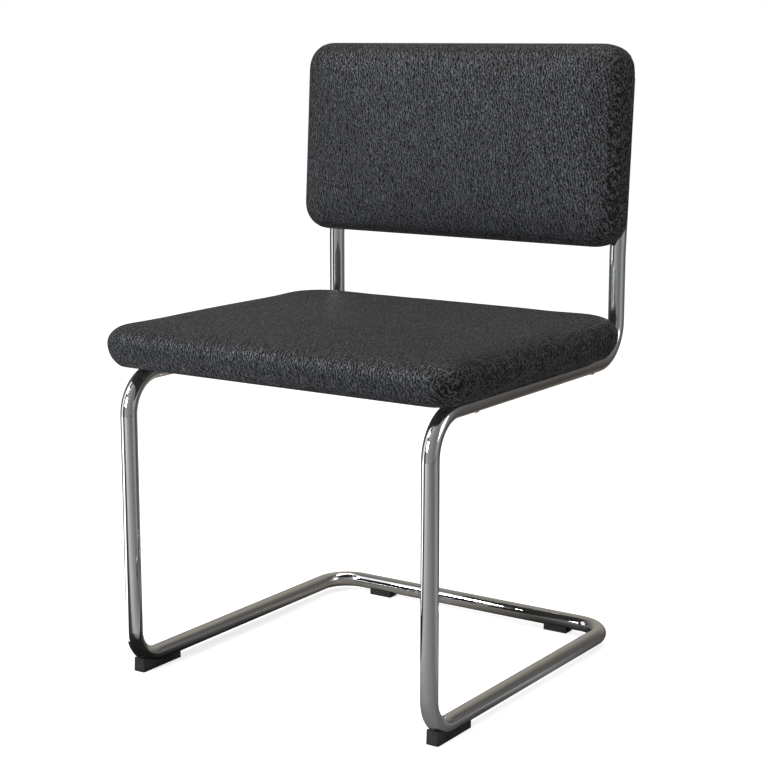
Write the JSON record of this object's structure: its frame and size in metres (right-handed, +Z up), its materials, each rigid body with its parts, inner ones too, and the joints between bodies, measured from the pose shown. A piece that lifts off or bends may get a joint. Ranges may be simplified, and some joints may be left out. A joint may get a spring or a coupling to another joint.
{
  "type": "cantilever chair",
  "caption": "Cantilever dining chair: one bent chrome tube carries a padded seat and a padded back in black pebbled faux leather, on low plastic glides.",
  "frame": {"origin": "on the floor, under the middle of the chair's outline in plan", "axes": "+Z up, -Y the way a seated person faces, +X to the right when the chair is seen from its front edge looking towards the back rest"},
  "size_m": [0.538, 0.5144, 0.8243],
  "materials": {
    "chrome_tube": "polished chrome plate",
    "black_leather": "pebbled faux leather with a soft sheen",
    "black_plastic": "moulded, fine texture",
    "black_panel": "grained sheet",
    "foam": "open-cell foam",
    "plywood": "bare veneer",
    "dust_cloth": "thin non-woven cloth",
    "zinc_steel": "bright zinc plate"
  },
  "bodies": {
    "root": {"tube_frame": "chrome_tube", "seat_cover": "black_leather", "back_cover": "black_leather", "front_glide_left": "black_plastic", "front_glide_right": "black_plastic", "rear_glide_left": "black_plastic", "rear_glide_right": "black_plastic", "upright_cap_left": "black_plastic", "upright_cap_right": "black_plastic", "back_panel_studs": "black_plastic", "back_panel": "black_panel", "seat_foam": "foam", "back_foam": "foam", "seat_board": "plywood", "back_board": "plywood", "seat_dust_cloth": "dust_cloth", "seat_screws": "zinc_steel", "back_screws": "zinc_steel", "seat_tee_nuts": "zinc_steel", "back_tee_nuts": "zinc_steel", "seat_cover_staples": "zinc_steel", "seat_cloth_staples": "zinc_steel", "back_cover_staples": "zinc_steel"}
  },
  "joints": []
}
